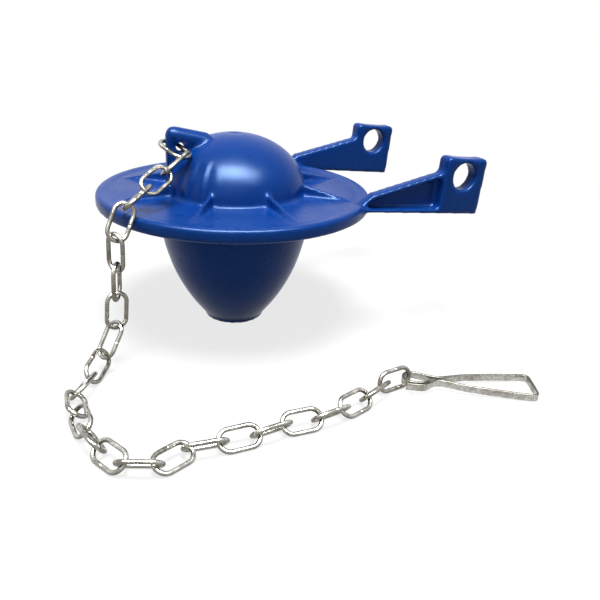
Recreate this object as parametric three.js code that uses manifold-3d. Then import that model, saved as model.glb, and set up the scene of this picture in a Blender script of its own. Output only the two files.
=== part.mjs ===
// Toilet flapper: a moulded rubber valve disc with a hollow dome and cone, two pivot arms,
// a lug at the front, and a wire-link lift chain that ends in a clip bent from flat strip.
// Millimetres, +Z up. The disc's axis is vertical, the lug points to -Y and the arms to +Y.
import * as THREE from "three";
import { mergeVertices } from "three/addons/utils/BufferGeometryUtils.js";
import Module from "manifold-3d";

const wasm = await Module();
wasm.setup();

// Seat disc
const DISC_RADIUS = 41;
const DISC_UNDERSIDE = 37.3;
const DISC_TOP = 41.0;
const RIM_LIP_HEIGHT = 0.4;
const RIM_LIP_WIDTH = 2.6;
const RIM_ROUND = 1.5;

// Hollow cone below the disc, an ogive whose side is upright where it meets the disc
const CONE_TOP_RADIUS = 23;
const CONE_ARC_RADIUS = 54.2;
const CONE_WALL = 2.0;
const COLLAR_RADIUS = 9.3;
const COLLAR_HEIGHT = 1.4;
const COLLAR_WALL = 1.8;

// Hollow dome above the disc
const DOME_RADIUS = 21.5;
const DOME_HEIGHT = 17.0;
const DOME_WALL = 2.2;

// Radial stiffening ribs
const RIB_COUNT = 8;
const RIB_FIRST_AZIMUTH = 7;
const RIB_THICKNESS = 1.3;
const RIB_RISE = 3.6;
const RIB_REACH = 15.0;
const RIB_TIP_HEIGHT = 0.1;

// How far a standing piece of the moulding starts inside the disc, to join it
const SUNK = 0.5;

// Lug at the front: a flat wall under a rounded nose, with a window for the chain
const LUG_THICKNESS = 2.4;
const LUG_FRONT = DOME_RADIUS - 0.7;
const LUG_REAR = LUG_FRONT - 11.4;
const NOSE_RADIUS = 2.4;
const NOSE_TOP = DISC_TOP + DOME_HEIGHT + 2.6;
const NOSE_SLOPE = 0.26;
const WINDOW_SETBACK = 3.95;
const WINDOW_DROP = 6.1;
const WINDOW = { y: WINDOW_SETBACK - LUG_FRONT, z: NOSE_TOP - WINDOW_DROP };
const WINDOW_RADIUS = 1.75;

// Pivot arms and ears, turned down a little to the rear about the ears' middle
const EAR_INNER_FACE = 24.9;
const EAR_THICKNESS = 5.05;
const EAR_FRONT = DISC_RADIUS + 14.2;
const EAR_REAR = EAR_FRONT + 14.5;
const EAR_BOTTOM = DISC_UNDERSIDE - 0.9;
const EAR_TOP = EAR_BOTTOM + 17.2;
const EAR_CORNER = 1.4;
const EAR_HOLE_RADIUS = 4.1;
const EAR_HOLE = { y: EAR_FRONT + 7.2, z: EAR_TOP - 5.7 };
const ARM_WEB = 1.5;
const ARM_TOP_STRIP_WIDTH = 4.0;
const ARM_STRIP_THICKNESS = 1.5;
const ARM_TOP_AT_EAR = EAR_TOP - 4.6;
const ARM_ROOT_DEPTH = 4.0;
const ARM_RAMP = 2.0;
const ARM_DROOP = THREE.MathUtils.degToRad(5.5);
const EAR_MIDDLE = new THREE.Vector2((EAR_FRONT + EAR_REAR) / 2, (EAR_BOTTOM + EAR_TOP) / 2);

// Chain
const LINK_COUNT = 25;
const LINK_LENGTH = 11.4;
const LINK_WIDTH = 6.5;
const WIRE_DIAMETER = 1.2;
const TOUCH_GAP = 0.3;
const HANGING_LINKS = 8;
const FIRST_LINK_RISE = 0.8;
const ROUTE_STEPS = 4000;

// Clip, bent from flat strip that stands on its edge
const STRIP_THICKNESS = 0.6;
const STRIP_HEIGHT = 2.0;
const CLIP_LENGTH = 36;
const CLIP_END_WIDTH = 10.5;
const CLIP_NECK_WIDTH = 1.0;
const CLIP_EYE_LENGTH = 7.5;
const CLIP_EYE_WIDTH = 5.4;
const CLIP_CORNER = 1.3;
const CLIP_TAIL_LENGTH = 7.0;
const CLIP_TAIL_GAP = 0.5;
const CLIP_HEADING = 66;
const CLIP_STEPS = 72;

const ROUND_SEGMENTS = 48;
const ARC_STEPS = 10;
const HOLLOW_STEPS = 6;
const CONE_STEPS = 8;
const RIM_STEPS = 3;
const EAR_HOLE_STEPS = 8;
const CORNER_STEPS = 4;
const EYE_STEPS = 8;
const WIRE_SIDES = 8;
const BOW_STEPS = 6;
const QUARTER = Math.PI / 2;
const UP = new THREE.Vector3(0, 0, 1);
const CAPSULE_AXIS = new THREE.Vector3(0, 1, 0);
const FIRST_LINK_ALONG = new THREE.Vector3(0.84, 0.42, -0.3);

const rubber = new THREE.MeshStandardMaterial({ color: 0x1252a8, roughness: 0.35, metalness: 0 });
const wire = new THREE.MeshStandardMaterial({ color: 0xc9c7c2, roughness: 0.2, metalness: 1 });
const strip = new THREE.MeshStandardMaterial({ color: 0xbbb8b0, roughness: 0.35, metalness: 1 });

function toSolid(geometry) {
  const bare = geometry.clone();
  bare.deleteAttribute("normal");
  bare.deleteAttribute("uv");
  const merged = mergeVertices(bare, 1e-4);
  return new wasm.Manifold(new wasm.Mesh({
    numProp: 3,
    vertProperties: new Float32Array(merged.attributes.position.array),
    triVerts: new Uint32Array(merged.index.array),
  }));
}

function toGeometry(solid) {
  const mesh = solid.getMesh();
  const geometry = new THREE.BufferGeometry();
  geometry.setAttribute("position", new THREE.BufferAttribute(mesh.vertProperties, 3));
  geometry.setIndex(new THREE.BufferAttribute(mesh.triVerts, 1));
  return geometry;
}

// A closed outline of (radius, height) points, turned about the vertical axis
function revolve(outline) {
  const points = outline.map(([radius, height]) => new THREE.Vector2(radius, height));
  return new THREE.LatheGeometry(points, ROUND_SEGMENTS).rotateX(QUARTER);
}

// A (y, z) outline given thickness along X, from x0 to x1
function sidePlate(shape, x0, x1) {
  const geometry = new THREE.ExtrudeGeometry(shape, {
    depth: x1 - x0, bevelEnabled: false, curveSegments: ARC_STEPS,
  });
  geometry.applyMatrix4(new THREE.Matrix4().makeBasis(
    new THREE.Vector3(0, 1, 0), new THREE.Vector3(0, 0, 1), new THREE.Vector3(1, 0, 0)));
  return geometry.translate(x0, 0, 0);
}

// Points of an arc between two angles, round a centre and with a radius each way
function arcPoints(centre, radii, [from, to], steps) {
  const points = [];
  for (let i = 0; i <= steps; i += 1) {
    const angle = from + (to - from) * i / steps;
    points.push([centre[0] + radii[0] * Math.cos(angle), centre[1] + radii[1] * Math.sin(angle)]);
  }
  return points;
}

// The cone's outer radius at a height, from its arc
function coneRadius(height) {
  const drop = DISC_UNDERSIDE - height;
  return CONE_TOP_RADIUS - CONE_ARC_RADIUS + Math.sqrt(CONE_ARC_RADIUS ** 2 - drop ** 2);
}

function domeTopAt(radius) {
  return DISC_TOP + DOME_HEIGHT * Math.sqrt(Math.max(0, 1 - (radius / DOME_RADIUS) ** 2));
}

// The hollow's outline inside the dome, from the disc up to the middle of the roof
function domeHollow() {
  const radii = [DOME_RADIUS - DOME_WALL, DOME_HEIGHT - DOME_WALL];
  return [
    ...arcPoints([0, DISC_TOP], radii, [0, QUARTER], HOLLOW_STEPS).slice(0, -1),
    [0, DISC_TOP + DOME_HEIGHT - DOME_WALL],
  ];
}

// Disc, cone, collar and dome as one hollow shell, open at the collar
function shellOutline() {
  const coneOuter = [];
  const coneInner = [];
  for (let i = 0; i <= CONE_STEPS; i += 1) {
    const height = COLLAR_HEIGHT + (DISC_UNDERSIDE - COLLAR_HEIGHT) * i / CONE_STEPS;
    coneOuter.push([coneRadius(height), height]);
    coneInner.push([coneRadius(height) - CONE_WALL, height]);
  }
  const rimTop = DISC_TOP + RIM_LIP_HEIGHT;
  const rimCentre = DISC_RADIUS - RIM_ROUND;
  const rimRadii = [RIM_ROUND, RIM_ROUND];
  const lowerRim = arcPoints([rimCentre, DISC_UNDERSIDE + RIM_ROUND], rimRadii, [-QUARTER, 0], RIM_STEPS);
  const upperRim = arcPoints([rimCentre, rimTop - RIM_ROUND], rimRadii, [0, QUARTER], RIM_STEPS);
  const domeOuter = arcPoints([0, DISC_TOP], [DOME_RADIUS, DOME_HEIGHT], [0, QUARTER], ARC_STEPS);
  const mouthRadius = COLLAR_RADIUS - COLLAR_WALL;
  return [
    [mouthRadius, 0],
    [COLLAR_RADIUS, 0],
    [COLLAR_RADIUS, COLLAR_HEIGHT],
    ...coneOuter,
    ...lowerRim,
    ...upperRim,
    [DISC_RADIUS - RIM_LIP_WIDTH, DISC_TOP],
    ...domeOuter.slice(0, -1),
    [0, DISC_TOP + DOME_HEIGHT],
    ...domeHollow().reverse(),
    ...coneInner.reverse(),
    [mouthRadius, COLLAR_HEIGHT],
    [mouthRadius, 0],
  ];
}

function ribs() {
  const inner = DOME_RADIUS - DOME_WALL / 2;
  const shape = new THREE.Shape([
    new THREE.Vector2(inner, DISC_TOP - SUNK),
    new THREE.Vector2(DOME_RADIUS + RIB_REACH, DISC_TOP - SUNK),
    new THREE.Vector2(DOME_RADIUS + RIB_REACH, DISC_TOP + RIB_TIP_HEIGHT),
    new THREE.Vector2(DOME_RADIUS, DISC_TOP + RIB_RISE),
    new THREE.Vector2(inner, DISC_TOP + RIB_RISE),
  ]);
  const plate = sidePlate(shape, -RIB_THICKNESS / 2, RIB_THICKNESS / 2);
  let joined = null;
  for (let i = 0; i < RIB_COUNT; i += 1) {
    const azimuth = THREE.MathUtils.degToRad(RIB_FIRST_AZIMUTH - 90 + i * 360 / RIB_COUNT);
    const rib = toSolid(plate.clone().rotateZ(azimuth));
    joined = joined ? joined.add(rib) : rib;
  }
  return joined;
}

// Wall under the nose, from the lug's front face back into the dome, with its chain window
function lug() {
  const half = LUG_THICKNESS / 2;
  const noseCentre = NOSE_TOP - NOSE_RADIUS;
  const noseFront = NOSE_RADIUS - LUG_FRONT;
  const insideTop = domeTopAt(LUG_REAR) - DOME_WALL / 2;
  const noseRear = noseCentre + NOSE_SLOPE * (LUG_REAR + noseFront);
  const wall = new THREE.Shape([
    new THREE.Vector2(-LUG_FRONT, DISC_TOP - SUNK),
    new THREE.Vector2(-DOME_RADIUS + DOME_WALL / 2, DISC_TOP - SUNK),
    new THREE.Vector2(-LUG_REAR, insideTop),
    new THREE.Vector2(-LUG_REAR, noseRear),
    new THREE.Vector2(noseFront, noseCentre),
    new THREE.Vector2(-LUG_FRONT, noseCentre),
  ]);
  const window = new THREE.Shape();
  window.absarc(WINDOW.y, WINDOW.z, WINDOW_RADIUS, 0, Math.PI * 2, false);

  const start = new THREE.Vector3(0, noseFront, noseCentre);
  const end = new THREE.Vector3(0, -LUG_REAR, noseRear);
  const nose = new THREE.CapsuleGeometry(NOSE_RADIUS, start.distanceTo(end), 6, 16);
  const along = end.clone().sub(start).normalize();
  nose.applyQuaternion(new THREE.Quaternion().setFromUnitVectors(CAPSULE_AXIS, along));
  nose.translate(0, (start.y + end.y) / 2, (start.z + end.z) / 2);

  return toSolid(sidePlate(wall, -half, half))
    .add(toSolid(nose))
    .subtract(toSolid(sidePlate(window, -LUG_THICKNESS, LUG_THICKNESS)));
}

// A point of an arm's side view, turned down to the rear about the ear's middle
function drooped(point) {
  return point.clone().rotateAround(EAR_MIDDLE, -ARM_DROOP);
}

function roundedEar() {
  const ear = new THREE.Shape();
  ear.moveTo(EAR_FRONT, EAR_BOTTOM);
  ear.lineTo(EAR_REAR, EAR_BOTTOM);
  ear.lineTo(EAR_REAR, EAR_TOP - EAR_CORNER);
  ear.absarc(EAR_REAR - EAR_CORNER, EAR_TOP - EAR_CORNER, EAR_CORNER, 0, QUARTER, false);
  ear.lineTo(EAR_FRONT + EAR_CORNER, EAR_TOP);
  ear.absarc(EAR_FRONT + EAR_CORNER, EAR_TOP - EAR_CORNER, EAR_CORNER, QUARTER, Math.PI, false);
  ear.closePath();
  const hole = new THREE.Path();
  hole.absarc(EAR_HOLE.y, EAR_HOLE.z, EAR_HOLE_RADIUS, 0, Math.PI * 2, true);
  ear.holes.push(hole);
  const outline = ear.extractPoints(EAR_HOLE_STEPS);
  const turned = new THREE.Shape(outline.shape.map(drooped));
  turned.holes.push(new THREE.Path(outline.holes[0].map(drooped)));
  return turned;
}

// A plate of the arm on one side of the disc, from the ear's inner face outwards
function armPlate(shape, side, thickness) {
  const inner = side * EAR_INNER_FACE;
  const outer = inner + side * thickness;
  return toSolid(sidePlate(shape, Math.min(inner, outer), Math.max(inner, outer)));
}

// One arm, with side 1 at +X or -1 at -X: a channel open outwards, which ends in the thick ear.
// Its inner end ramps down into the top of the disc.
function arm(side) {
  const root = Math.sqrt(DISC_RADIUS ** 2 - EAR_INNER_FACE ** 2);
  const rootInside = root - ARM_ROOT_DEPTH;
  const rootTop = DISC_TOP + RIM_LIP_HEIGHT;
  const earEdge = EAR_FRONT + EAR_CORNER;
  const bottomRoot = drooped(new THREE.Vector2(rootInside, EAR_BOTTOM));
  const bottomEnd = drooped(new THREE.Vector2(earEdge, EAR_BOTTOM));
  const topRoot = drooped(new THREE.Vector2(root, rootTop));
  const topEnd = drooped(new THREE.Vector2(earEdge, ARM_TOP_AT_EAR));
  const rampStart = new THREE.Vector2(rootInside - ARM_RAMP, DISC_TOP - SUNK);
  const web = new THREE.Shape([bottomRoot, bottomEnd, topEnd, topRoot, rampStart]);
  const topStrip = new THREE.Shape([
    new THREE.Vector2(rootInside, DISC_TOP - SUNK),
    drooped(new THREE.Vector2(root, rootTop - ARM_STRIP_THICKNESS)),
    drooped(new THREE.Vector2(earEdge, ARM_TOP_AT_EAR - ARM_STRIP_THICKNESS)),
    topEnd,
    topRoot,
    rampStart,
  ]);
  const bottomStrip = new THREE.Shape([
    bottomRoot,
    bottomEnd,
    drooped(new THREE.Vector2(earEdge, EAR_BOTTOM + ARM_STRIP_THICKNESS)),
    new THREE.Vector2(rootInside, DISC_TOP - SUNK),
  ]);
  return armPlate(roundedEar(), side, EAR_THICKNESS)
    .add(armPlate(web, side, ARM_WEB))
    .add(armPlate(topStrip, side, ARM_TOP_STRIP_WIDTH))
    .add(armPlate(bottomStrip, side, EAR_THICKNESS));
}

function flapperGeometry() {
  const hollow = toSolid(revolve([
    [0, DISC_UNDERSIDE],
    [DOME_RADIUS - DOME_WALL, DISC_UNDERSIDE],
    ...domeHollow(),
    [0, DISC_UNDERSIDE],
  ]));
  const solid = toSolid(revolve(shellOutline()))
    .add(ribs())
    .add(lug().subtract(hollow))
    .add(arm(1))
    .add(arm(-1));
  return toGeometry(solid);
}

// The centreline of one link: two straight sides joined by half-round bows
class LinkCurve extends THREE.Curve {
  getPoint(t, target = new THREE.Vector3()) {
    const bow = (LINK_WIDTH - WIRE_DIAMETER) / 2;
    const straight = (LINK_LENGTH - LINK_WIDTH) / 2;
    const stepsPerHalf = BOW_STEPS + 1;
    const place = ((t % 1) + 1) % 1 * 2 * stepsPerHalf;
    const side = place < stepsPerHalf ? 1 : -1;
    const within = side === 1 ? place : place - stepsPerHalf;
    if (within <= BOW_STEPS) {
      const angle = Math.PI * (within / BOW_STEPS - 0.5);
      return target.set(side * (straight + bow * Math.cos(angle)), side * bow * Math.sin(angle), 0);
    }
    const share = within - BOW_STEPS;
    return target.set(side * straight * (1 - 2 * share), side * bow, 0);
  }

  getPointAt(u, target) {
    return this.getPoint(u, target);
  }

  getTangentAt(u, target) {
    return this.getTangent(u, target);
  }
}

// The strand's way: from the lug's window over the disc's rim, down to the table and round to
// the right. Its first points are measured from the window, those near the rim from the place
// where it crosses the rim, and those further on from below that place.
const RIM_CROSSING_AZIMUTH = -61;
const crossing = new THREE.Vector3(DISC_RADIUS, 0, 0)
  .applyAxisAngle(UP, THREE.MathUtils.degToRad(RIM_CROSSING_AZIMUTH));
const routeFromWindow = [
  [6.4, -0.45, -0.7], [10.95, -6.95, -4.1], [15.5, -13.4, -7.2],
];
const routeOverRim = [
  [0.22, -0.84, 3.3], [3.12, -4.74, -3.7],
];
const routeBelowRim = [
  [2.72, -4.94, 28.9], [2.12, -5.14, 20.5], [2.02, -5.74, 12.1], [4.72, -9.94, 5.0],
  [11.32, -14.74, 2.6], [18.32, -19.54, 2.5], [26.52, -20.54, 2.5], [34.82, -20.14, 2.5],
  [42.72, -18.44, 2.5], [50.22, -15.24, 2.5], [53.52, -7.84, 2.5], [50.22, -0.34, 2.5],
  [50.82, 7.66, 2.5], [50.72, 15.86, 2.5], [49.62, 23.96, 2.5], [49.82, 32.16, 2.5],
  [48.42, 40.26, 2.5], [45.72, 48.06, 2.5], [42.02, 55.46, 2.5], [40.82, 62.56, 2.5],
  [39.62, 69.66, 2.5],
];
const measuredFrom = (origin, points) => points.map(
  (point) => new THREE.Vector3(...point).add(origin));
const route = [
  ...measuredFrom(new THREE.Vector3(0, WINDOW.y, WINDOW.z), routeFromWindow),
  ...measuredFrom(new THREE.Vector3(crossing.x, crossing.y, DISC_TOP), routeOverRim),
  ...measuredFrom(crossing, routeBelowRim),
];

// How much each link can still slide in the next one before they pull tight
const slack = [
  0.37, 0.52, 0.53, 0.48, 0.59, 0.58, 0.58, 0.32,
  0.49, 0.51, 0.74, 0.69, 0.92, 0.85, 0.9, 0.81,
  0.98, 0.8, 0.83, 0.8, 0.78, 0.75, 0.73, 1.8,
];

// How far each link after the first is turned about its own length, in degrees, from facing up
// and away from the disc's axis
const turns = [
  27, -53, 28, -62, -5, 52, -71, 0, -80, 25, -73, 8,
  90, 0, 90, 0, 90, 0, 90, 0, 90, 0, 90, 35,
];

// Points along the route, each one link's pitch from the last in a straight line
function junctions() {
  const fine = new THREE.CatmullRomCurve3(route, false, "centripetal").getPoints(ROUTE_STEPS);
  const found = [fine[0]];
  for (const point of fine) {
    if (found.length === LINK_COUNT) break;
    const pitch = LINK_LENGTH - 2 * WIRE_DIAMETER - slack[found.length - 1];
    if (point.distanceTo(found[found.length - 1]) >= pitch) found.push(point);
  }
  return found;
}

function basis(centre, along, facing) {
  const x = along.clone().normalize();
  const z = facing.clone().addScaledVector(x, -facing.dot(x)).normalize();
  const y = z.clone().cross(x);
  return new THREE.Matrix4().makeBasis(x, y, z).setPosition(centre);
}

// How far a link reaches below its own centre
function lowestReach(matrix) {
  const [, , alongZ, , , , acrossZ] = matrix.elements;
  const straight = (LINK_LENGTH - LINK_WIDTH) / 2;
  const bow = (LINK_WIDTH - WIRE_DIAMETER) / 2;
  return straight * Math.abs(alongZ) + bow * Math.hypot(alongZ, acrossZ) + WIRE_DIAMETER / 2;
}

// A link between two joins, and on the table where it lies or would dip below it
function linkMatrix(index, start, end) {
  const centre = start.clone().add(end).divideScalar(2);
  const along = end.clone().sub(start).normalize();
  const facing = new THREE.Vector3(centre.x, centre.y, 0).normalize().add(UP);
  const turn = THREE.MathUtils.degToRad(turns[index - 1]);
  facing.addScaledVector(along, -facing.dot(along)).applyAxisAngle(along, turn);
  const matrix = basis(centre, along, facing);
  const lowest = lowestReach(matrix);
  if (index > HANGING_LINKS + 1 || centre.z < lowest) matrix.elements[14] = lowest;
  return matrix;
}

// The first link's bow goes round the neck between the lug's front face and its window
function firstLinkMatrix() {
  const neckRear = -WINDOW.y + WINDOW_RADIUS;
  const neck = new THREE.Vector3(0, -(LUG_FRONT + neckRear) / 2, WINDOW.z + FIRST_LINK_RISE);
  const along = FIRST_LINK_ALONG.clone().normalize();
  const across = along.clone().cross(UP).normalize();
  const centre = neck.addScaledVector(along, (LINK_LENGTH - LINK_WIDTH) / 2);
  return basis(centre, along, along.clone().cross(across));
}

// The clip's strip seen from above: tail, one leg, the wide end, the other leg and the eye
function clipCentreline() {
  const eye = CLIP_EYE_WIDTH / 2;
  const end = CLIP_END_WIDTH / 2;
  const neck = CLIP_NECK_WIDTH / 2 + STRIP_THICKNESS / 2;
  const tail = eye + STRIP_THICKNESS + CLIP_TAIL_GAP;
  const length = CLIP_LENGTH - STRIP_THICKNESS / 2;
  const corner = (sign, angles) => arcPoints(
    [length - CLIP_CORNER, sign * (end - CLIP_CORNER)], [CLIP_CORNER, CLIP_CORNER], angles, CORNER_STEPS);
  return [
    [CLIP_EYE_LENGTH - CLIP_TAIL_LENGTH, -tail],
    [CLIP_EYE_LENGTH - 2, -tail + 0.1],
    [CLIP_EYE_LENGTH + 0.6, -neck - 0.7],
    [CLIP_EYE_LENGTH + 2.4, -neck - 0.1],
    [length / 2, -(neck + end) / 2],
    ...corner(-1, [-QUARTER, 0]),
    ...corner(1, [0, QUARTER]),
    [length / 2, (neck + end) / 2],
    [CLIP_EYE_LENGTH + 2, neck],
    [CLIP_EYE_LENGTH, neck + 0.4],
    ...arcPoints([eye, 0], [eye, eye], [QUARTER, 3 * QUARTER], EYE_STEPS),
    [CLIP_EYE_LENGTH - 2, -eye + 0.3],
    [CLIP_EYE_LENGTH - 0.4, -neck - 0.4],
  ].map(([along, across]) => new THREE.Vector3(along, across, 0));
}

function clipGeometry() {
  const centre = new THREE.CatmullRomCurve3(clipCentreline(), false, "centripetal");
  const left = [];
  const right = [];
  for (let i = 0; i <= CLIP_STEPS; i += 1) {
    const point = centre.getPointAt(i / CLIP_STEPS);
    const tangent = centre.getTangentAt(i / CLIP_STEPS);
    const side = new THREE.Vector2(-tangent.y, tangent.x).multiplyScalar(STRIP_THICKNESS / 2);
    left.push(side.clone().add(point));
    right.push(side.negate().add(point));
  }
  const outline = new THREE.Shape([...right, ...left.reverse()]);
  return new THREE.ExtrudeGeometry(outline, { depth: STRIP_HEIGHT, bevelEnabled: false });
}

// The eye's front wall lies inside the upright last link, and the wide end rests on the table
function clipMatrix(lastLink) {
  const along = new THREE.Vector3().setFromMatrixColumn(lastLink, 0);
  const eyeBottom = WIRE_DIAMETER + TOUCH_GAP;
  const bowInside = LINK_WIDTH / 2 - WIRE_DIAMETER;
  const bowAtBottom = Math.sqrt(bowInside ** 2 - (LINK_WIDTH / 2 - eyeBottom) ** 2);
  const reach = (LINK_LENGTH - LINK_WIDTH) / 2 + bowAtBottom - TOUCH_GAP - STRIP_THICKNESS / 2;
  const wall = new THREE.Vector3().setFromMatrixPosition(lastLink).addScaledVector(along, reach);
  const heading = THREE.MathUtils.degToRad(CLIP_HEADING);
  const drop = Math.asin(eyeBottom / CLIP_LENGTH);
  const forward = new THREE.Vector3(
    Math.cos(heading) * Math.cos(drop), Math.sin(heading) * Math.cos(drop), -Math.sin(drop));
  wall.z = eyeBottom;
  return basis(wall, forward, UP);
}

function placed(name, geometry, material, matrix) {
  const mesh = new THREE.Mesh(geometry, material.clone());
  mesh.name = name;
  mesh.applyMatrix4(matrix);
  return mesh;
}

const model = new THREE.Group();
model.add(placed("flapper_body", flapperGeometry(), rubber, new THREE.Matrix4()));

const linkGeometry = new THREE.TubeGeometry(
  new LinkCurve(), 2 * (BOW_STEPS + 1), WIRE_DIAMETER / 2, WIRE_SIDES, true);
const stops = junctions();
const linkMatrices = [firstLinkMatrix()];
for (let i = 1; i < LINK_COUNT; i += 1) {
  linkMatrices.push(linkMatrix(i, stops[i - 1], stops[i]));
}
linkMatrices.forEach((matrix, index) => {
  const name = `chain_link_${String(index).padStart(2, "0")}`;
  model.add(placed(name, linkGeometry, wire, matrix));
});
model.add(placed("chain_clip", clipGeometry(), strip, clipMatrix(linkMatrices.at(-1))));

// The origin is on the table, under the middle of everything
const middle = new THREE.Box3().setFromObject(model, true).getCenter(new THREE.Vector3());
model.position.set(-middle.x, -middle.y, 0);

export default model;
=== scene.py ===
"""Looks of the toilet flapper: the blue moulding, its wire chain and the clip bent from strip.

Shapes are written in millimetres in the flapper's own frame, with the disc's axis on Z, and are
moved to the row frame by the CAD solid's box.
"""
import math

import bmesh
import bpy
import numpy as np
from mathutils import Matrix, Vector


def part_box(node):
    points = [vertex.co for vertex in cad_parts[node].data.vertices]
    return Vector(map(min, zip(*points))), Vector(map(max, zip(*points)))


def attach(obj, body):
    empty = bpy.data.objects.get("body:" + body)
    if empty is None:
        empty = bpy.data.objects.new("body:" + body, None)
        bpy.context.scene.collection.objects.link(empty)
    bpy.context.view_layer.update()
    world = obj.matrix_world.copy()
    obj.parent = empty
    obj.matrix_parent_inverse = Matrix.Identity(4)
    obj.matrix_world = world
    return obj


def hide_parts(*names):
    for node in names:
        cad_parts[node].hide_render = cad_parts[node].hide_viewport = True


MM = 0.001

# How finely round forms are cut, and how near counts as touching, in millimetres
BODY_SEGMENTS = 288
NOSE_SEGMENTS = 64
CONE_STEPS = 60
ON_AXIS = 1e-6
TOUCH = 0.01

# Disc, cone and dome
DISC_RADIUS = 41.0
DISC_UNDERSIDE = 37.3
DISC_TOP = 41.0
RIM_LIP_HEIGHT = 0.4
RIM_LIP_WIDTH = 2.6
RIM_LIP_FOOT = 1.0
RIM_LIP_SHARE = 0.7
RIM_ROUND_TOP = 1.1
RIM_ROUND_BELOW = 0.9
CONE_TOP_RADIUS = 23.0
CONE_ARC_RADIUS = 54.2
CONE_WALL = 2.0
COLLAR_RADIUS = 9.3
COLLAR_HEIGHT = 1.4
COLLAR_WALL = 1.8
COLLAR_EDGE = 0.3
DOME_RADIUS = 21.5
DOME_HEIGHT = 17.0
DOME_WALL = 2.2
GATE_RADIUS = 2.2
GATE_DEPTH = 0.35
GATE_SLOPE = 0.3

# The steps in the dome's wall beside the lug: degrees from the lug, and how far the wall stands in
# from the dome there, in millimetres
DOME_STEPS = [(0, 0.7), (17, 0.7), (19, 1.4), (25, 0.9), (31, 0.45), (33, 1.2), (39, 0.6),
              (44.5, 0.1), (46.5, 0.9), (50, 0.35), (56, 0.0), (180, 0.0)]
STEPS_TOP = 12.5
STEPS_FADE = 3.5
STEPS_DEPTH = 0.5
STEPS_UNDER_PEAK = 1

# Ribs, lug, arms and ears
RIB_COUNT = 8
RIB_FIRST_AZIMUTH = 7
RIB_THICKNESS = 1.3
RIB_RISE = 3.6
RIB_REACH = 15.0
RIB_END_ROUND = 1.2
RIB_END_OUT = 0.7
RIB_END_TURN = 0.9
RIB_TIP_HEIGHT = 0.1
LUG_AZIMUTH = -90
LUG_THICKNESS = 2.4
LUG_FRONT = DOME_RADIUS - 0.7
LUG_REAR = LUG_FRONT - 11.4
NOSE_RADIUS = 2.45
NOSE_TOP = DISC_TOP + DOME_HEIGHT + 2.6
NOSE_SLOPE = 0.26
NOSE_REAR_WIDTH = 1.12
WINDOW_Y = 4.05 - LUG_FRONT
WINDOW_Z = NOSE_TOP - 5.75
WINDOW_RADIUS = 1.3
DRILL_REACH = 4
EAR_INNER_FACE = 24.9
EAR_THICKNESS = 5.05
EAR_FRONT = DISC_RADIUS + 14.2
EAR_REAR = EAR_FRONT + 14.5
EAR_BOTTOM = DISC_UNDERSIDE - 0.9
EAR_TOP = EAR_BOTTOM + 17.2
EAR_TOP_DIP = 0.3
EAR_DIP_POWER = 0.7
EAR_CORNER = 1.4
EAR_HOLE_RADIUS = 4.1
EAR_HOLE = (EAR_FRONT + 7.2, EAR_TOP - 5.7)
ARM_WEB = 1.5
ARM_TOP_STRIP_WIDTH = 4.0
ARM_STRIP_THICKNESS = 1.5
ARM_TOP_AT_EAR = EAR_TOP - 4.6
ARM_ROOT_DEPTH = 4.0
ARM_RAMP = 2.0
ARM_DROOP = math.radians(5.5)
EAR_MIDDLE = ((EAR_FRONT + EAR_REAR) / 2, (EAR_BOTTOM + EAR_TOP) / 2)
SUNK = 0.5

# Chain links and clip
LINK_COUNT = 25
LINK_LENGTH = 11.4
LINK_WIDTH = 6.5
WIRE_DIAMETER = 1.2
LINK_STEPS = 56
WIRE_SIDES = 14
SEAM_DEPTH = 0.09
SEAM_HALF_WIDTH = 0.05
SEAM_SHOULDER = 0.16
SEAM_CLEAR = 0.3
STRIP_THICKNESS = 0.6
STRIP_HEIGHT = 2.0
STRIP_EDGE_ROUND = 0.16
CLIP_LENGTH = 36.0
CLIP_END_WIDTH = 10.5
CLIP_NECK_WIDTH = 1.0
CLIP_EYE_LENGTH = 7.5
CLIP_EYE_WIDTH = 5.4
CLIP_CORNER = 1.3
CLIP_TAIL_LENGTH = 7.0
CLIP_TAIL_GAP = 0.5
CLIP_HEADING = 66
CLIP_ORIGIN = (60.742, 26.406, 1.5)
CLIP_STEPS = 260
CURVE_STEPS = 60

# How finely the moulding is remeshed, in millimetres, and how much it is smoothed after that
VOXEL = 0.59
SMOOTH_ROUNDS = 4

# Tones of the rubber, the wire and the strip, each with the tones laid over it; the wire's darker sides and
# the strip's darker upper edge are painted shade, set by which way the surface faces
RUBBER_TONES = [(0.3, (0.0010, 0.037, 0.225)), (0.55, (0.0012, 0.043, 0.255)), (0.75, (0.0018, 0.049, 0.28))]
RUBBER_BLOOM = (0.02, 0.07, 0.29, 1)
RUBBER_DOTS = (0.06, 0.12, 0.36, 1)
RUBBER_GLOSS = 0.16
RUBBER_GLOSS_TINT = (0.55, 0.8, 1.0, 1.0)
RUBBER_IOR = 1.5
WIRE_TONES = [(0.3, (0.27, 0.26, 0.235)), (0.5, (0.48, 0.47, 0.43)), (0.7, (0.64, 0.62, 0.58))]
WIRE_STAIN = (0.13, 0.115, 0.085, 1)
# Painted shade: the colour laid on the wire where it faces sideways or down
WIRE_PAINTED_SIDE_SHADE = (0.115, 0.105, 0.085, 1)
STRIP_TONES = [(0.3, (0.26, 0.25, 0.225)), (0.7, (0.54, 0.53, 0.50))]
STRIP_STAIN = (0.15, 0.135, 0.105, 1)
# Painted shade: the colour laid on the strip's edge that faces up
STRIP_PAINTED_EDGE_SHADE = (0.075, 0.070, 0.058, 1)
STRIP_GRAIN = (60.0, 1800.0, 1800.0)

# The setting: the floor's size, its grey for light that bounces, its seen grey and white, its fade
FLOOR_RADIUS = 3.0
FLOOR_SEGMENTS = 96
FLOOR_DROP = 0.0001
FLOOR_GREY = 0.16
FLOOR_SEEN_GREY = 0.24
FLOOR_GLOW = 0.78
FLOOR_FADE = (0.10, 0.30)
WORLD_LIGHT = 0.12

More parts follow.
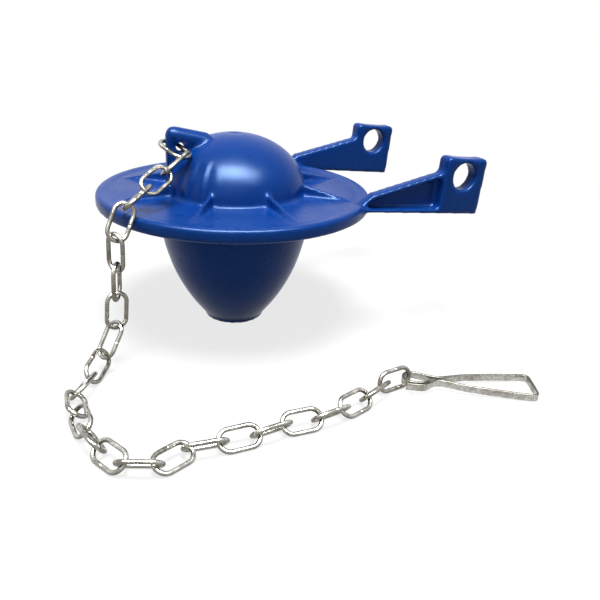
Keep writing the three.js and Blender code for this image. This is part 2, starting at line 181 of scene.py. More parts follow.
# The panels of light, in metres and watts
OVERHEAD = {"place": (0.12, -0.05, 0.74), "target": (0.0, 0.0, 0.04), "sides": (0.30, 0.30), "watts": 7.4}
SHINE = {"place": (0.24, -0.11, 0.68), "target": (0.0, 0.0, 0.05), "sides": (0.30, 0.90), "watts": 14.0}
SHINE_SPREAD = math.radians(90)
FRONT = {"place": (0.62, -0.40, 0.42), "target": (0.0, 0.0, 0.03), "sides": (0.35, 0.35), "watts": 0.5}

# The camera's place from the disc's axis, in metres, its directions and its lens
CAMERA_PLACE = (0.1976, -0.0706, 0.0974)
CAMERA_RIGHT = (0.4137, 0.9095, 0.0417)
CAMERA_UP = (-0.3840, 0.1328, 0.9137)
CAMERA_LENS = 42.13
CAMERA_SENSOR = 36.0

FULL_TURN = 2 * math.pi
QUARTER = math.pi / 2


def arc(centre, radii, start, end, steps):
    """Points of an arc between two angles, round a centre and with a radius each way."""
    angles = [start + (end - start) * i / steps for i in range(steps + 1)]
    return [(centre[0] + radii[0] * math.cos(a), centre[1] + radii[1] * math.sin(a)) for a in angles]


def circle(centre, radius, steps=48):
    """A closed round outline."""
    return arc(centre, (radius, radius), 0, FULL_TURN, steps)[:-1]


def grid_faces(mesh, rings):
    """Joins neighbouring rings of vertices, where a ring of one vertex is a point on the axis."""
    for lower, upper in zip(rings, rings[1:] + rings[:1]):
        if len(lower) == 1 and len(upper) == 1:
            continue
        count = max(len(lower), len(upper))
        for i in range(count):
            j = (i + 1) % count
            below = [lower[i % len(lower)], lower[j % len(lower)]]
            above = [upper[j % len(upper)], upper[i % len(upper)]]
            unique = list(dict.fromkeys(below + above))
            mesh.faces.new(unique)


def lathe(mesh, profile, segments, warp=None):
    """Turns a closed (radius, height) outline about Z; warp gives what a point's radius gains."""
    rings = []
    for radius, height in profile:
        if radius < ON_AXIS:
            rings.append([mesh.verts.new((0, 0, height))])
            continue
        ring = []
        for i in range(segments):
            angle = FULL_TURN * i / segments
            reach = radius + (warp(angle, radius, height) if warp else 0)
            ring.append(mesh.verts.new((reach * math.cos(angle), reach * math.sin(angle), height)))
        rings.append(ring)
    grid_faces(mesh, rings)


def prism(mesh, outlines, x0, x1):
    """Closed (y, z) outlines, the first the outside and the others holes, given thickness along X."""
    for x in (x0, x1):
        edges = []
        for outline in outlines:
            ring = [mesh.verts.new((x, y, z)) for y, z in outline]
            edges += [mesh.edges.new((ring[i], ring[(i + 1) % len(ring)])) for i in range(len(ring))]
        bmesh.ops.triangle_fill(mesh, edges=edges, use_beauty=True)
    count = sum(len(outline) for outline in outlines)
    mesh.verts.ensure_lookup_table()
    first = len(mesh.verts) - 2 * count
    for outline in outlines:
        for i in range(len(outline)):
            j = (i + 1) % len(outline)
            near = [mesh.verts[first + i], mesh.verts[first + j]]
            far = [mesh.verts[first + count + j], mesh.verts[first + count + i]]
            mesh.faces.new(near + far)
        first += len(outline)


def to_object(name, mesh):
    """A scene object of a mesh whose faces all look outwards."""
    bmesh.ops.recalc_face_normals(mesh, faces=mesh.faces)
    data = bpy.data.meshes.new(name)
    mesh.to_mesh(data)
    mesh.free()
    made = bpy.data.objects.new(name, data)
    bpy.context.scene.collection.objects.link(made)
    return made


def apply_modifiers(item):
    """Puts what an object's modifiers give in place of its mesh."""
    graph = bpy.context.evaluated_depsgraph_get()
    data = bpy.data.meshes.new_from_object(item.evaluated_get(graph))
    item.modifiers.clear()
    item.data = data


def join(items):
    """One object of the meshes of several."""
    whole = bmesh.new()
    for item in items:
        whole.from_mesh(item.data)
    name = items[0].name
    for item in items:
        bpy.data.objects.remove(item)
    data = bpy.data.meshes.new(name)
    whole.to_mesh(data)
    whole.free()
    made = bpy.data.objects.new(name, data)
    bpy.context.scene.collection.objects.link(made)
    return made


def shade_smooth(item):
    """Smooth shading on every face."""
    item.data.polygons.foreach_set("use_smooth", [True] * len(item.data.polygons))


def cone_radius(height):
    """The cone's outer radius at a height, from its arc."""
    drop = DISC_UNDERSIDE - height
    return CONE_TOP_RADIUS - CONE_ARC_RADIUS + math.sqrt(CONE_ARC_RADIUS ** 2 - drop ** 2)


def dome_top(radius, sunk=0.0):
    """The dome's height at a radius, or that of a dome sunk a little inside it."""
    share = min(1.0, radius / (DOME_RADIUS - sunk))
    return DISC_TOP + (DOME_HEIGHT - sunk) * math.sqrt(1 - share ** 2)


def shell_profile():
    """Disc, cone, collar and dome as one hollow outline, open at the collar."""
    heights = np.linspace(COLLAR_HEIGHT, DISC_UNDERSIDE, CONE_STEPS + 1).tolist()
    rim_top = DISC_TOP + RIM_LIP_HEIGHT
    below = (DISC_RADIUS - RIM_ROUND_BELOW, DISC_UNDERSIDE + RIM_ROUND_BELOW)
    above = (DISC_RADIUS - RIM_ROUND_TOP, rim_top - RIM_ROUND_TOP)
    dome = arc((0, DISC_TOP), (DOME_RADIUS, DOME_HEIGHT), 0, QUARTER, 64)
    inner = arc((0, DISC_TOP), (DOME_RADIUS - DOME_WALL, DOME_HEIGHT - DOME_WALL), QUARTER, 0, 48)
    mouth = COLLAR_RADIUS - COLLAR_WALL
    dome_peak = DISC_TOP + DOME_HEIGHT
    gate = [(GATE_RADIUS, dome_peak), (GATE_RADIUS - GATE_SLOPE, dome_peak - GATE_DEPTH),
            (0, dome_peak - GATE_DEPTH)]
    outside = [point for point in dome if point[0] > GATE_RADIUS + GATE_SLOPE]
    edge = COLLAR_RADIUS - COLLAR_EDGE
    lip = DISC_RADIUS - RIM_LIP_WIDTH
    return (
        [(mouth, 0), (edge, 0), (COLLAR_RADIUS, COLLAR_EDGE), (COLLAR_RADIUS, COLLAR_HEIGHT)]
        + [(cone_radius(z), z) for z in heights]
        + arc(below, (RIM_ROUND_BELOW, RIM_ROUND_BELOW), -QUARTER, 0, 12)
        + arc(above, (RIM_ROUND_TOP, RIM_ROUND_TOP), 0, QUARTER, 12)
        + [(lip, DISC_TOP + RIM_LIP_HEIGHT * RIM_LIP_SHARE)]
        + [(lip - RIM_LIP_FOOT, DISC_TOP)]
        + outside + gate
        + [(0, inner[0][1])] + inner[1:]
        + [(cone_radius(z) - CONE_WALL, z) for z in reversed(heights)]
        + [(mouth, COLLAR_HEIGHT)]
    )


def dome_warp(angle, radius, height):
    """How far the dome's wall moves for its stepped faces beside the lug."""
    above = height - DISC_TOP
    if radius > DOME_RADIUS + TOUCH or above <= 0 or above > DOME_HEIGHT - STEPS_UNDER_PEAK:
        return 0
    if radius < DOME_RADIUS * math.sqrt(1 - (above / DOME_HEIGHT) ** 2) - STEPS_DEPTH:
        return 0
    turn = abs((math.degrees(angle) - LUG_AZIMUTH + 180) % 360 - 180)
    inward = np.interp(turn, [row[0] for row in DOME_STEPS], [row[1] for row in DOME_STEPS])
    fade = min(1.0, max(0.0, (STEPS_TOP - above) / STEPS_FADE))
    return -inward * fade


def rib_outline():
    """One rib seen from the side, with a rounded upper end against the dome."""
    inner = DOME_RADIUS - DOME_WALL / 2
    top = DISC_TOP + RIB_RISE
    radii = (RIB_END_ROUND, RIB_END_ROUND)
    end = arc((DOME_RADIUS + RIB_END_OUT, top - RIB_END_ROUND), radii, QUARTER, RIB_END_TURN, 6)
    tip = DOME_RADIUS + RIB_REACH
    foot = [(inner, DISC_TOP - SUNK), (tip, DISC_TOP - SUNK), (tip, DISC_TOP + RIB_TIP_HEIGHT)]
    return foot + end[::-1] + [(inner, top)]


def ribs():
    """The ribs round the dome."""
    made = []
    for i in range(RIB_COUNT):
        mesh = bmesh.new()
        prism(mesh, [rib_outline()], -RIB_THICKNESS / 2, RIB_THICKNESS / 2)
        azimuth = math.radians(RIB_FIRST_AZIMUTH + LUG_AZIMUTH + i * 360 / RIB_COUNT)
        bmesh.ops.transform(mesh, matrix=Matrix.Rotation(azimuth, 4, "Z"), verts=mesh.verts)
        made.append(to_object("rib", mesh))
    return made


def lug():
    """The wall under the nose with the chain's window, and the rounded nose itself."""
    nose_centre = NOSE_TOP - NOSE_RADIUS
    nose_front = NOSE_RADIUS - LUG_FRONT
    nose_rear = nose_centre + NOSE_SLOPE * (LUG_REAR + nose_front)
    radii = np.linspace(DOME_RADIUS - DOME_WALL / 2, LUG_REAR, 14)
    foot = [(-r, dome_top(r, DOME_WALL / 2)) for r in radii]
    outline = [(-LUG_FRONT, DISC_TOP - SUNK), (-DOME_RADIUS + DOME_WALL / 2, DISC_TOP - SUNK)] + foot
    outline += [(-LUG_REAR, nose_rear), (nose_front, nose_centre), (-LUG_FRONT, nose_centre)]
    window = circle((WINDOW_Y, WINDOW_Z), WINDOW_RADIUS)
    wall = bmesh.new()
    prism(wall, [outline, window], -LUG_THICKNESS / 2, LUG_THICKNESS / 2)

    start = Vector((0, nose_front, nose_centre))
    along = Vector((0, -LUG_REAR, nose_rear)) - start
    profile = [(0, -NOSE_RADIUS)]
    profile += arc((0, 0), (NOSE_RADIUS, NOSE_RADIUS), -QUARTER, 0, 14)[1:]
    profile += [(NOSE_RADIUS * NOSE_REAR_WIDTH, along.length)]
    profile += arc((0, along.length), (NOSE_RADIUS * NOSE_REAR_WIDTH, NOSE_RADIUS), 0, QUARTER, 14)[1:-1]
    profile += [(0, along.length + NOSE_RADIUS)]
    nose = bmesh.new()
    lathe(nose, profile, NOSE_SEGMENTS)
    turn = along.to_track_quat("Z", "X").to_matrix().to_4x4()
    bmesh.ops.transform(nose, matrix=Matrix.Translation(start) @ turn, verts=nose.verts)
    nose = to_object("nose", nose)
    drill = bmesh.new()
    prism(drill, [window], -DRILL_REACH, DRILL_REACH)
    drill = to_object("drill", drill)
    cut = nose.modifiers.new("window", "BOOLEAN")
    cut.operation = "DIFFERENCE"
    cut.object = drill
    apply_modifiers(nose)
    bpy.data.objects.remove(drill)
    return [to_object("lug", wall), nose]


def drooped(y, z):
    """A point of an arm's side view, turned down to the rear about the ear's middle."""
    across = y - EAR_MIDDLE[0]
    above = z - EAR_MIDDLE[1]
    return (
        EAR_MIDDLE[0] + across * math.cos(ARM_DROOP) + above * math.sin(ARM_DROOP),
        EAR_MIDDLE[1] - across * math.sin(ARM_DROOP) + above * math.cos(ARM_DROOP),
    )


def ear_outline():
    """The ear seen from the side, with rounded upper corners and a slight dip between them."""
    front = EAR_FRONT + EAR_CORNER
    rear = EAR_REAR - EAR_CORNER
    radii = (EAR_CORNER, EAR_CORNER)
    top = []
    for y in np.linspace(rear, front, 12)[1:-1]:
        dip = math.sin(math.pi * (rear - y) / (rear - front)) ** EAR_DIP_POWER
        top.append((y, EAR_TOP - EAR_TOP_DIP * dip))
    return (
        [(EAR_FRONT, EAR_BOTTOM), (EAR_REAR, EAR_BOTTOM)]
        + arc((rear, EAR_TOP - EAR_CORNER), radii, 0, QUARTER, 8)
        + top
        + arc((front, EAR_TOP - EAR_CORNER), radii, QUARTER, math.pi, 8)
    )


def arm(side):
    """One arm with its ear, with side 1 at +X or -1 at -X."""
    root = math.sqrt(DISC_RADIUS ** 2 - EAR_INNER_FACE ** 2)
    inside = root - ARM_ROOT_DEPTH
    sunk = DISC_TOP - SUNK
    top = DISC_TOP + RIM_LIP_HEIGHT
    edge = EAR_FRONT + EAR_CORNER
    bottom_root = drooped(inside, EAR_BOTTOM)
    bottom_end = drooped(edge, EAR_BOTTOM)
    top_root = drooped(root, top)
    top_end = drooped(edge, ARM_TOP_AT_EAR)
    ramp = (inside - ARM_RAMP, sunk)
    ear = [drooped(*point) for point in ear_outline()]
    hole = [drooped(*point) for point in circle(EAR_HOLE, EAR_HOLE_RADIUS)]
    web = [bottom_root, bottom_end, top_end, top_root, ramp]
    top_strip = [(inside, sunk), drooped(root, top - ARM_STRIP_THICKNESS),
                 drooped(edge, ARM_TOP_AT_EAR - ARM_STRIP_THICKNESS), top_end, top_root, ramp]
    bottom_strip = [bottom_root, bottom_end, drooped(edge, EAR_BOTTOM + ARM_STRIP_THICKNESS), (inside, sunk)]
    plates = [
        ([ear, hole], EAR_THICKNESS),
        ([web], ARM_WEB),
        ([top_strip], ARM_TOP_STRIP_WIDTH),
        ([bottom_strip], EAR_THICKNESS),
    ]
    made = []
    for outlines, thickness in plates:
        mesh = bmesh.new()
        faces = sorted([side * EAR_INNER_FACE, side * (EAR_INNER_FACE + thickness)])
        prism(mesh, outlines, faces[0], faces[1])
        made.append(to_object("arm", mesh))
    return made


def moulding(to_row):
    """The whole flapper body: its pieces joined, remeshed as one skin and smoothed like a moulding."""
    shell = bmesh.new()
    lathe(shell, shell_profile(), BODY_SEGMENTS, dome_warp)
    body = join([to_object("flapper_skin", shell)] + ribs() + lug() + arm(1) + arm(-1))
    remesh = body.modifiers.new("skin", "REMESH")
    remesh.mode = "VOXEL"
    remesh.voxel_size = VOXEL
    remesh.adaptivity = 0
    smooth = body.modifiers.new("soften", "SMOOTH")
    smooth.factor = 0.5
    smooth.iterations = SMOOTH_ROUNDS
    apply_modifiers(body)
    body.data.transform(to_row)
    shade_smooth(body)
    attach(body, "root")
    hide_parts("flapper_body")
    return body


def tube(mesh, centres, normals, sections, closed):
    """Sweeps a closed (out, up) section along points; normals say which way out is, up is +Z."""
    rings = []
    for centre, normal, section in zip(centres, normals, sections):
        ring = [mesh.verts.new(centre + normal * out + Vector((0, 0, up))) for out, up in section]
        rings.append(ring)
    pairs = zip(rings, rings[1:] + rings[:1]) if closed else zip(rings, rings[1:])
    for near, far in pairs:
        for i in range(len(near)):
            j = (i + 1) % len(near)
            mesh.faces.new((near[i], near[j], far[j], far[i]))
    if not closed:
        mesh.faces.new(rings[0][::-1])
        mesh.faces.new(rings[-1])


def link_mesh():
    """One link: a wire bent to an oval, whose ends meet in a fine seam on one straight side."""
    bow = (LINK_WIDTH - WIRE_DIAMETER) / 2
    straight = (LINK_LENGTH - LINK_WIDTH) / 2
    perimeter = 4 * straight + FULL_TURN * bow
    stops = [perimeter * i / LINK_STEPS for i in range(LINK_STEPS)]
    seam = straight
    stops = [stop for stop in stops if abs(stop - seam) > SEAM_CLEAR]
    stops += [seam - SEAM_SHOULDER, seam - SEAM_HALF_WIDTH, seam + SEAM_HALF_WIDTH, seam + SEAM_SHOULDER]
    stops.sort()
    centres, normals, sections = [], [], []
    for stop in stops:
        centre, normal = on_link(stop, straight, bow)
        thin = SEAM_DEPTH if abs(stop - seam) < SEAM_SHOULDER - TOUCH else 0
        centres.append(centre)
        normals.append(normal)
        sections.append(circle((0, 0), WIRE_DIAMETER / 2 - thin, WIRE_SIDES))
    mesh = bmesh.new()
    tube(mesh, centres, normals, sections, True)
    bmesh.ops.recalc_face_normals(mesh, faces=mesh.faces)
    data = bpy.data.meshes.new("link")
    mesh.to_mesh(data)
    mesh.free()
    return data


def on_link(stop, straight, bow):
    """The point and outward direction a given way round a link's centreline."""
    half = 2 * straight + math.pi * bow
    side = 1 if stop < half else -1
    within = stop if side == 1 else stop - half
    if within < 2 * straight:
        return Vector((side * (straight - within), side * bow, 0)), Vector((0, side, 0))
    angle = QUARTER + (within - 2 * straight) / bow
    out = Vector((math.cos(angle), math.sin(angle), 0)) * side
    return Vector((-side * straight, 0, 0)) + out * bow, out


def pose_of(node):
    """Where a CAD link lies: its middle and its long, wide and thin directions."""
    points = np.array([v.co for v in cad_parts[node].data.vertices], float)
    middle = points.mean(axis=0)
    _, directions = np.linalg.eigh(np.cov((points - middle).T))
    along, across = Vector(directions[:, 2]), Vector(directions[:, 1])
    facing = along.cross(across)
    turn = Matrix((along, across, facing)).transposed().to_4x4()
    return Matrix.Translation(Vector(middle)) @ turn


def chain():
    """Every link, each in the place of its CAD solid, with its seam turned to either side."""
    made = []
    for i in range(LINK_COUNT):
        node = f"chain_link_{i:02d}"
        data = link_mesh()
        flip = Matrix.Rotation(math.pi if i % 3 == 1 else 0, 4, "Z")
        data.transform(pose_of(node) @ flip @ Matrix.Scale(MM, 4))
        link = bpy.data.objects.new(f"wire_link_{i:02d}", data)
        bpy.context.scene.collection.objects.link(link)
        shade_smooth(link)
        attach(link, "root")
        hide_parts(node)
        made.append(link)
    return made


def clip_points():
    """The clip's strip seen from above: tail, one leg, the wide end, the other leg and the eye."""
    eye = CLIP_EYE_WIDTH / 2
    end = CLIP_END_WIDTH / 2
    neck = CLIP_NECK_WIDTH / 2 + STRIP_THICKNESS / 2
    tail = eye + STRIP_THICKNESS + CLIP_TAIL_GAP
    length = CLIP_LENGTH - STRIP_THICKNESS / 2
    corner = (length - CLIP_CORNER, end - CLIP_CORNER)
    round_corner = (CLIP_CORNER, CLIP_CORNER)
    points = [(CLIP_EYE_LENGTH - CLIP_TAIL_LENGTH, -tail), (CLIP_EYE_LENGTH - 2, -tail + 0.1),
              (CLIP_EYE_LENGTH + 0.6, -neck - 0.7), (CLIP_EYE_LENGTH + 2.4, -neck - 0.1),
              (length / 2, -(neck + end) / 2)]
    points += arc((corner[0], -corner[1]), round_corner, -QUARTER, 0, 4)
    points += arc(corner, round_corner, 0, QUARTER, 4)
    points += [(length / 2, (neck + end) / 2), (CLIP_EYE_LENGTH + 2, neck), (CLIP_EYE_LENGTH, neck + 0.4)]
    points += arc((eye, 0), (eye, eye), QUARTER, 3 * QUARTER, 8)
    points += [(CLIP_EYE_LENGTH - 2, -eye + 0.3), (CLIP_EYE_LENGTH - 0.4, -neck - 0.4)]
    return np.array(points)


def smooth_path(points, count):
    """Evenly spaced points on a centripetal Catmull-Rom curve through given points."""
    padded = np.vstack([2 * points[0] - points[1], points, 2 * points[-1] - points[-2]])
    fine = []
    for p0, p1, p2, p3 in zip(padded, padded[1:], padded[2:], padded[3:]):
        t1 = np.linalg.norm(p1 - p0) ** 0.5
        t2 = t1 + np.linalg.norm(p2 - p1) ** 0.5
        t3 = t2 + np.linalg.norm(p3 - p2) ** 0.5
        for t in np.linspace(t1, t2, CURVE_STEPS, endpoint=False):
            a1 = (t1 - t) / t1 * p0 + t / t1 * p1
            a2 = (t2 - t) / (t2 - t1) * p1 + (t - t1) / (t2 - t1) * p2
            a3 = (t3 - t) / (t3 - t2) * p2 + (t - t2) / (t3 - t2) * p3
            b1 = (t2 - t) / t2 * a1 + t / t2 * a2
            b2 = (t3 - t) / (t3 - t1) * a2 + (t - t1) / (t3 - t1) * a3
            fine.append((t2 - t) / (t2 - t1) * b1 + (t - t1) / (t2 - t1) * b2)
    fine = np.array(fine + [points[-1]])
    way = np.concatenate([[0], np.cumsum(np.linalg.norm(np.diff(fine, axis=0), axis=1))])
    stops = np.linspace(0, way[-1], count)
    return np.stack([np.interp(stops, way, fine[:, k]) for k in range(2)], axis=1)


def strip_section():
    """The strip's cross-section, a flat band on its edge with rounded edges."""
    out = STRIP_THICKNESS / 2 - STRIP_EDGE_ROUND
    up = STRIP_HEIGHT / 2 - STRIP_EDGE_ROUND
    radii = (STRIP_EDGE_ROUND, STRIP_EDGE_ROUND)
    section = []
    for k, (x, y) in enumerate([(out, up), (-out, up), (-out, -up), (out, -up)]):
        section += arc((x, y + STRIP_HEIGHT / 2), radii, k * QUARTER, (k + 1) * QUARTER, 3)
    return section


def clip(to_row):
    """The clip, one strip swept along its bends."""
    path = smooth_path(clip_points(), CLIP_STEPS)
    ways = np.gradient(path, axis=0)
    ways /= np.linalg.norm(ways, axis=1)[:, None]
    centres = [Vector((x, y, 0)) for x, y in path]
    normals = [Vector((-dy, dx, 0)) for dx, dy in ways]
    mesh = bmesh.new()
    tube(mesh, centres, normals, [strip_section()] * len(centres), False)
    made = to_object("clip_strip", mesh)
    forward = Vector((math.cos(math.radians(CLIP_HEADING)), math.sin(math.radians(CLIP_HEADING)), 0))
    drop = math.asin(CLIP_ORIGIN[2] / CLIP_LENGTH)
    along = forward * math.cos(drop) - Vector((0, 0, math.sin(drop)))
    across = Vector((0, 0, 1)).cross(along).normalized()
    turn = Matrix((along, across, along.cross(across))).transposed().to_4x4()
    made.data.transform(to_row @ Matrix.Translation(CLIP_ORIGIN) @ turn)
    shade_smooth(made)
    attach(made, "root")
    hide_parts("chain_clip")
    return made


class Nodes:
    """A material's nodes, made and joined in short lines."""

    def __init__(self, name):
        self.material = bpy.data.materials.new(name)
        self.material.use_nodes = True
        self.tree = self.material.node_tree
        self.shader = self.tree.nodes["Principled BSDF"]
        self.place = self.tree.nodes.new("ShaderNodeTexCoord").outputs["Object"]

    def add(self, kind, **values):
        """A node of a kind, with its inputs set or joined by their names."""
        node = self.tree.nodes.new(kind)
        for name, value in values.items():
            self.put(node.inputs[name.replace("_", " ")], value)
        return node

    def put(self, socket, value):
        """Joins an output to a socket, or sets the socket's own value."""
        if isinstance(value, bpy.types.NodeSocket):
            self.tree.links.new(value, socket)
        else:
            socket.default_value = value

    def noise(self, scale, detail=3.0, roughness=0.5, place=None):
        """A grey noise at a scale, in waves per metre."""
        return self.add("ShaderNodeTexNoise", Vector=place or self.place, Scale=scale, Detail=detail,
                        Roughness=roughness).outputs["Fac"]

    def upward(self):
        """How far a surface looks up, from -1 to 1."""
        normal = self.add("ShaderNodeNewGeometry").outputs["Normal"]
        return self.add("ShaderNodeSeparateXYZ", Vector=normal).outputs["Z"]

    def ramp(self, value, stops):
        """Turns a grey value into colours at given places."""
        node = self.add("ShaderNodeValToRGB", Fac=value)
        node.color_ramp.elements[0].position = stops[0][0]
        node.color_ramp.elements[0].color = (*stops[0][1], 1)
        node.color_ramp.elements[1].position = stops[-1][0]
        node.color_ramp.elements[1].color = (*stops[-1][1], 1)
        for position, colour in stops[1:-1]:
            node.color_ramp.elements.new(position).color = (*colour, 1)
        return node.outputs["Color"]

    def fit(self, value, low, high, out_low, out_high):
        """Moves a range of grey values to another range."""
        node = self.add("ShaderNodeMapRange", Value=value)
        for name, number in zip(("From Min", "From Max", "To Min", "To Max"), (low, high, out_low, out_high)):
            node.inputs[name].default_value = number
        return node.outputs["Result"]

    def mix(self, share, first, second):
        """Mixes two colours by a share."""
        node = self.tree.nodes.new("ShaderNodeMix")
        node.data_type = "RGBA"
        self.put(node.inputs[0], share)
        self.put(node.inputs[6], first)
        self.put(node.inputs[7], second)
        return node.outputs[2]

    def bump(self, height, strength, distance, below=None):
        """A bump in millimetres, on top of another where one is given."""
        node = self.add("ShaderNodeBump", Height=height, Strength=strength, Distance=distance * MM)
        if below:
            self.tree.links.new(below, node.inputs["Normal"])
        return node.outputs["Normal"]

    def surface(self, **values):
        """Sets or joins the shader's own inputs."""
        for name, value in values.items():
            self.put(self.shader.inputs[name.replace("_", " ")], value)
        return self.material


def blue_rubber():
    """Moulded blue rubber with a satin skin: faint clouding, fine grain and a little bloom."""
    nodes = Nodes("blue_rubber")
    cloud = nodes.noise(28, 4)
    grain = nodes.noise(1500, 2)
    flow = nodes.noise(160, 3)
    speck = nodes.add("ShaderNodeTexVoronoi", Vector=nodes.place, Scale=900.0).outputs["Distance"]
    base = nodes.ramp(cloud, RUBBER_TONES)
    bloom = nodes.fit(nodes.noise(420, 5, 0.65), 0.52, 0.78, 0.0, 0.14)
    dusted = nodes.mix(bloom, base, RUBBER_BLOOM)
    dots = nodes.fit(speck, 0.0, 0.16, 0.12, 0.0)
    colour = nodes.mix(dots, dusted, RUBBER_DOTS)
    rough = nodes.fit(flow, 0.3, 0.7, 0.25, 0.34)
    fine = nodes.bump(grain, 0.12, 0.03)
    relief = nodes.bump(flow, 0.16, 0.08, fine)
    return nodes.surface(Base_Color=colour, Roughness=rough, Normal=relief, Metallic=0.0, IOR=RUBBER_IOR,
                         Specular_IOR_Level=RUBBER_GLOSS, Specular_Tint=RUBBER_GLOSS_TINT)


def plated_wire():
    """Bright nickel plate on drawn wire: fine draw marks, dull patches, stains, and painted shade that
    darkens the wire where it faces sideways or down.
    """
    nodes = Nodes("plated_wire")
    patch = nodes.noise(330, 4, 0.6)
    marks = nodes.noise(2600, 3, 0.6)
    stain = nodes.noise(140, 5, 0.7)
    clean = nodes.ramp(patch, WIRE_TONES)
    stained = nodes.mix(nodes.fit(stain, 0.5, 0.62, 0.0, 0.75), clean, WIRE_STAIN)
    # Painted shade: darker where the wire faces sideways or down, lighter on top, set by which way the
    # surface faces
    side = nodes.fit(nodes.upward(), 0.0, 0.75, 0.8, 0.0)
    with_painted_shade = nodes.mix(side, stained, WIRE_PAINTED_SIDE_SHADE)
    rough = nodes.fit(patch, 0.3, 0.75, 0.14, 0.34)
    relief = nodes.bump(marks, 0.25, 0.02, nodes.bump(patch, 0.3, 0.06))
    return nodes.surface(Base_Color=with_painted_shade, Roughness=rough, Normal=relief, Metallic=1.0)


def plated_strip():
    """Satin nickel plate on rolled strip: long rolling marks, dull patches, and painted shade that darkens
    the edge that faces up.
    """
    nodes = Nodes("plated_strip")
    turn = nodes.add("ShaderNodeMapping", Vector=nodes.place, Rotation=(0, 0, -math.radians(CLIP_HEADING)),
                     Scale=STRIP_GRAIN).outputs["Vector"]
    marks = nodes.noise(1.0, 4, 0.6, turn)
    patch = nodes.noise(260, 4, 0.6)
    clean = nodes.ramp(marks, STRIP_TONES)
    stained = nodes.mix(nodes.fit(patch, 0.46, 0.62, 0.0, 0.7), clean, STRIP_STAIN)
    # Painted shade: darker where the strip faces up, on its upper edge, set by which way the surface faces
    edge = nodes.fit(nodes.upward(), 0.25, 0.6, 0.0, 0.85)
    with_painted_shade = nodes.mix(edge, stained, STRIP_PAINTED_EDGE_SHADE)
    rough = nodes.fit(patch, 0.3, 0.75, 0.2, 0.4)
    relief = nodes.bump(marks, 0.2, 0.02)
    return nodes.surface(Base_Color=with_painted_shade, Roughness=rough, Normal=relief, Metallic=1.0)


def dress(items, material):
    """Gives pieces their material."""
    for item in items:
        item.data.materials.clear()
        item.data.materials.append(material)


def seen(tree):
    """1 for camera, glossy and transmission rays, which see the plain white setting, and else 0."""
    path = tree.nodes.new("ShaderNodeLightPath")
    most = path.outputs["Is Camera Ray"]
    for name in ("Is Glossy Ray", "Is Transmission Ray"):
        node = tree.nodes.new("ShaderNodeMath")
        node.operation = "MAXIMUM"
        tree.links.new(most, node.inputs[0])
        tree.links.new(path.outputs[name], node.inputs[1])
        most = node.outputs[0]
    return most


def mixed(tree, share, first, second):
    """Mixes two shaders by a share."""
    pick = tree.nodes.new("ShaderNodeMixShader")
    tree.links.new(share, pick.inputs[0])
    tree.links.new(first, pick.inputs[1])
    tree.links.new(second, pick.inputs[2])
    return pick.outputs[0]


def glow(tree, strength):
    """A plain white light from a surface."""
    node = tree.nodes.new("ShaderNodeEmission")
    node.inputs["Color"].default_value = (1, 1, 1, 1)
    node.inputs["Strength"].default_value = strength
    return node.outputs[0]


def matt(tree, grey):
    """A plain matt grey."""
    node = tree.nodes.new("ShaderNodeBsdfDiffuse")
    node.inputs["Color"].default_value = (grey, grey, grey, 1)
    return node.outputs[0]


def floor():
    """A plain floor, white where it is seen, that keeps the object's shadow and fades into the setting."""
    mesh = bmesh.new()
    bmesh.ops.create_circle(mesh, cap_ends=True, segments=FLOOR_SEGMENTS, radius=FLOOR_RADIUS)
    made = to_object("floor", mesh)
    made.location.z = -FLOOR_DROP
    material = bpy.data.materials.new("floor")
    material.use_nodes = True
    tree = material.node_tree
    tree.nodes.remove(tree.nodes["Principled BSDF"])
    shaded = tree.nodes.new("ShaderNodeAddShader")
    tree.links.new(matt(tree, FLOOR_SEEN_GREY), shaded.inputs[0])
    tree.links.new(glow(tree, FLOOR_GLOW), shaded.inputs[1])
    place = tree.nodes.new("ShaderNodeTexCoord").outputs["Object"]
    reach = tree.nodes.new("ShaderNodeVectorMath")
    reach.operation = "LENGTH"
    tree.links.new(place, reach.inputs[0])
    fade = tree.nodes.new("ShaderNodeMapRange")
    fade.interpolation_type = "SMOOTHSTEP"
    fade.inputs["From Min"].default_value = FLOOR_FADE[0]
    fade.inputs["From Max"].default_value = FLOOR_FADE[1]
    tree.links.new(reach.outputs["Value"], fade.inputs["Value"])
    white = mixed(tree, fade.outputs["Result"], shaded.outputs[0], glow(tree, 1.0))
    surface = mixed(tree, seen(tree), matt(tree, FLOOR_GREY), white)
    tree.links.new(surface, tree.nodes["Material Output"].inputs["Surface"])
    made.data.materials.append(material)


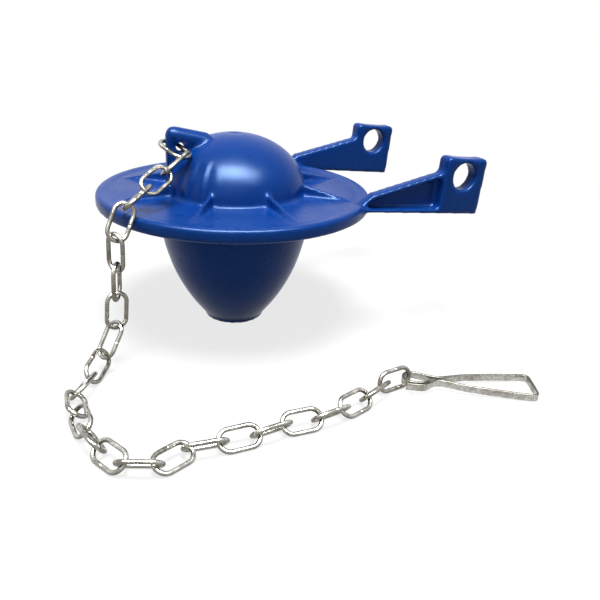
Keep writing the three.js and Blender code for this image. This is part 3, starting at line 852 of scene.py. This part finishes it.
def studio():
    """Soft light from an overhead panel, one for gloss and one in front, in a world seen as white."""
    world = bpy.data.worlds.new("studio")
    bpy.context.scene.world = world
    world.use_nodes = True
    tree = world.node_tree
    dim = tree.nodes["Background"]
    dim.inputs["Color"].default_value = (1, 1, 1, 1)
    dim.inputs["Strength"].default_value = WORLD_LIGHT
    white = tree.nodes.new("ShaderNodeBackground")
    white.inputs["Color"].default_value = (1, 1, 1, 1)
    surface = mixed(tree, seen(tree), dim.outputs[0], white.outputs[0])
    tree.links.new(surface, tree.nodes["World Output"].inputs["Surface"])
    overhead = panel("overhead", **OVERHEAD)
    overhead.visible_glossy = False
    shine = panel("shine", **SHINE)
    shine.visible_diffuse = False
    shine.data.spread = SHINE_SPREAD
    panel("front", **FRONT)


def panel(name, place, target, sides, watts):
    """A soft light that looks at a point, with one side's length up and down and the other level."""
    light = bpy.data.lights.new(name, "AREA")
    light.shape = "RECTANGLE"
    light.size, light.size_y = sides[1], sides[0]
    light.energy = watts
    made = bpy.data.objects.new(name, light)
    made.location = place
    made.rotation_euler = (Vector(target) - Vector(place)).to_track_quat("-Z", "Y").to_euler()
    bpy.context.scene.collection.objects.link(made)
    return made


def camera(axis):
    """The camera at the photograph's place, fitted to the disc, cone, dome and ears."""
    right = Vector(CAMERA_RIGHT)
    up = Vector(CAMERA_UP)
    back = right.cross(up)
    data = bpy.data.cameras.new("camera")
    data.lens = CAMERA_LENS
    data.sensor_width = CAMERA_SENSOR
    made = bpy.data.objects.new("camera", data)
    turn = Matrix((right, up, back)).transposed().to_4x4()
    made.matrix_world = Matrix.Translation(axis + Vector(CAMERA_PLACE)) @ turn
    bpy.context.scene.collection.objects.link(made)
    bpy.context.scene.camera = made


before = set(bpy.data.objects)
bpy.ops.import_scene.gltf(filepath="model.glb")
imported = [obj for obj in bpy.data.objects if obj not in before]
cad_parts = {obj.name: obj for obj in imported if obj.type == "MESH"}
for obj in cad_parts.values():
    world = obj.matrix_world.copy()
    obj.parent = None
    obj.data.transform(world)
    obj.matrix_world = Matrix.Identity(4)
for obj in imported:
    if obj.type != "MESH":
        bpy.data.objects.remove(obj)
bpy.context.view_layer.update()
low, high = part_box("flapper_body")
axis = Vector(((low.x + high.x) / 2, low.y + DISC_RADIUS * MM, 0))
own_to_row = Matrix.Translation(axis) @ Matrix.Scale(MM, 4)
camera(axis)
dress([moulding(own_to_row)], blue_rubber())
dress(chain(), plated_wire())
dress([clip(own_to_row)], plated_strip())
floor()
studio()
bpy.context.scene.view_settings.view_transform = "Standard"
